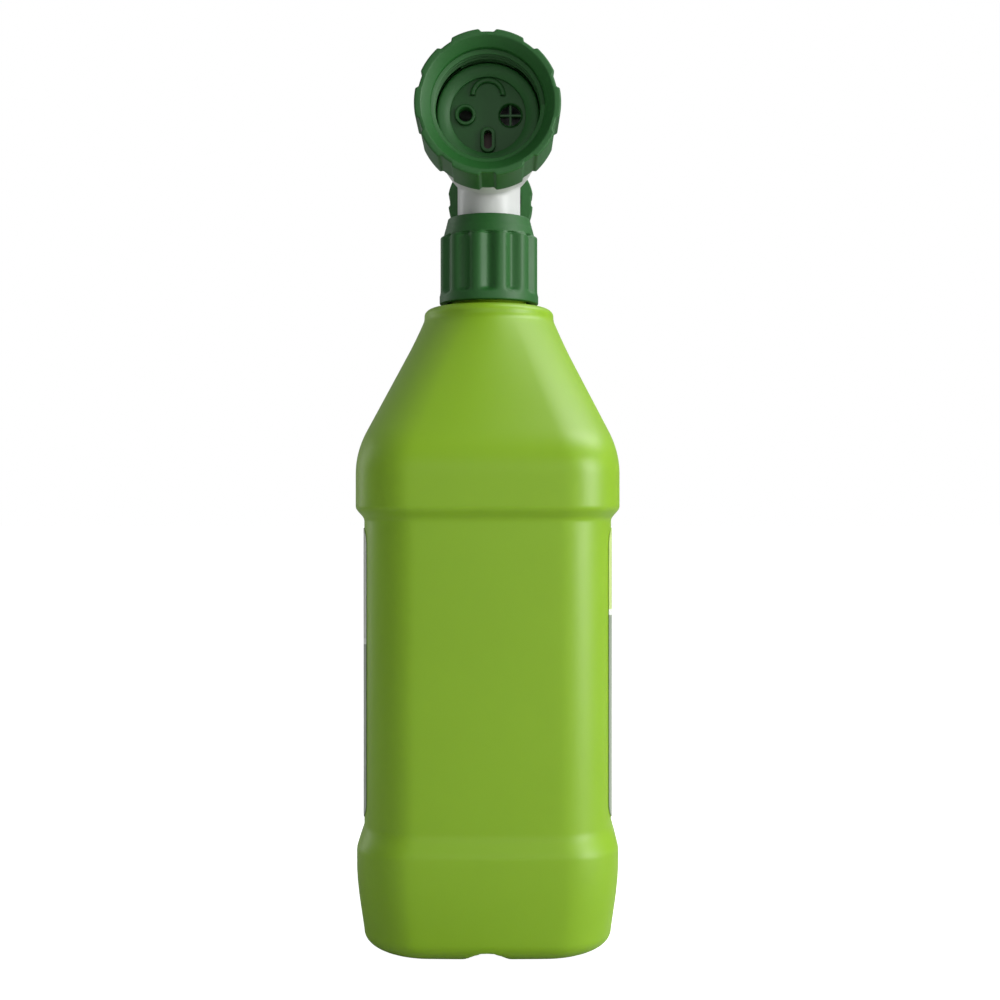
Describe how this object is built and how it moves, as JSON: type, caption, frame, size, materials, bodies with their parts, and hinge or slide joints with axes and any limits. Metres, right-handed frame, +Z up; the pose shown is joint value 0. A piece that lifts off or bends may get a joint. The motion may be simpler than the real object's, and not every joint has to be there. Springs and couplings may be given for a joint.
{
  "type": "hose-end sprayer bottle",
  "caption": "Flat plastic bottle with a screw-on hose-end spraying head, a swivelling hose nut, a selector knob and a dip tube.",
  "frame": {"origin": "centre of the whole object's bounding box, at the base that the bottle stands on", "axes": "+Z up along the bottle, +Y along the barrel from the hose nut to the nozzle, +X across the two labelled faces"},
  "size_m": [0.0652, 0.148, 0.2227],
  "materials": {
    "lime_plastic": "satin blow-moulded polyethylene",
    "green_plastic": "satin injection-moulded polypropylene",
    "white_plastic": "satin injection-moulded polypropylene",
    "natural_plastic": "extruded natural polyethylene",
    "label_film": "printed film label",
    "black_rubber": "moulded rubber",
    "green_rubber": "soft moulded elastomer",
    "red_rubber": "moulded silicone",
    "spring_steel": "drawn stainless wire"
  },
  "bodies": {
    "bottle": {"bottle": "lime_plastic", "label_left": "label_film", "label_right": "label_film"},
    "seal": {"neck_seal": "black_rubber"},
    "collar": {"collar": "green_plastic"},
    "head": {"sprayer_body": "white_plastic", "dip_tube": "natural_plastic", "metering_orifice": "green_plastic", "vent_valve": "red_rubber", "inlet_plate": "green_plastic", "hose_washer": "green_rubber", "mixing_jet": "white_plastic", "jet_seal_ring": "black_rubber", "nose_seal_ring": "black_rubber", "valve_seat_seal": "black_rubber", "check_spring": "spring_steel"},
    "hose_nut": {"hose_nut": "green_plastic"},
    "check_poppet": {"check_poppet": "red_rubber"},
    "selector_knob": {"selector_knob": "green_plastic", "valve_rotor": "white_plastic", "nozzle_tip": "white_plastic"}
  },
  "joints": [
    {"name": "head_lift", "type": "slide", "parent": "bottle", "child": "seal", "axis": [0, 0, 1], "range_m": [0, 0.00476]},
    {"name": "collar_turn", "type": "hinge", "parent": "seal", "child": "collar", "pos_m": [0, -0.014, 0.172], "axis": [0, 0, 1], "range_deg": [0, 540]},
    {"name": "head_swivel", "type": "hinge", "parent": "seal", "child": "head", "pos_m": [0, -0.014, 0.18], "axis": [0, 0, 1], "continuous": true},
    {"name": "nut_swivel", "type": "hinge", "parent": "head", "child": "hose_nut", "pos_m": [0, -0.054, 0.2051], "axis": [0, 1, 0], "continuous": true},
    {"name": "selector_turn", "type": "hinge", "parent": "head", "child": "selector_knob", "pos_m": [0, 0.066, 0.2051], "axis": [0, 1, 0], "range_deg": [0, 90]},
    {"name": "check_valve_slide", "type": "slide", "parent": "head", "child": "check_poppet", "axis": [0, 1, 0], "range_m": [0, 0.002], "stiffness_N_per_m": 40, "springref_m": -0.003, "deforming": ["check_spring"]}
  ],
  "couplings": [
    {"joint": "collar_turn", "follows": "head_lift", "rad_per_m": 1979}
  ]
}
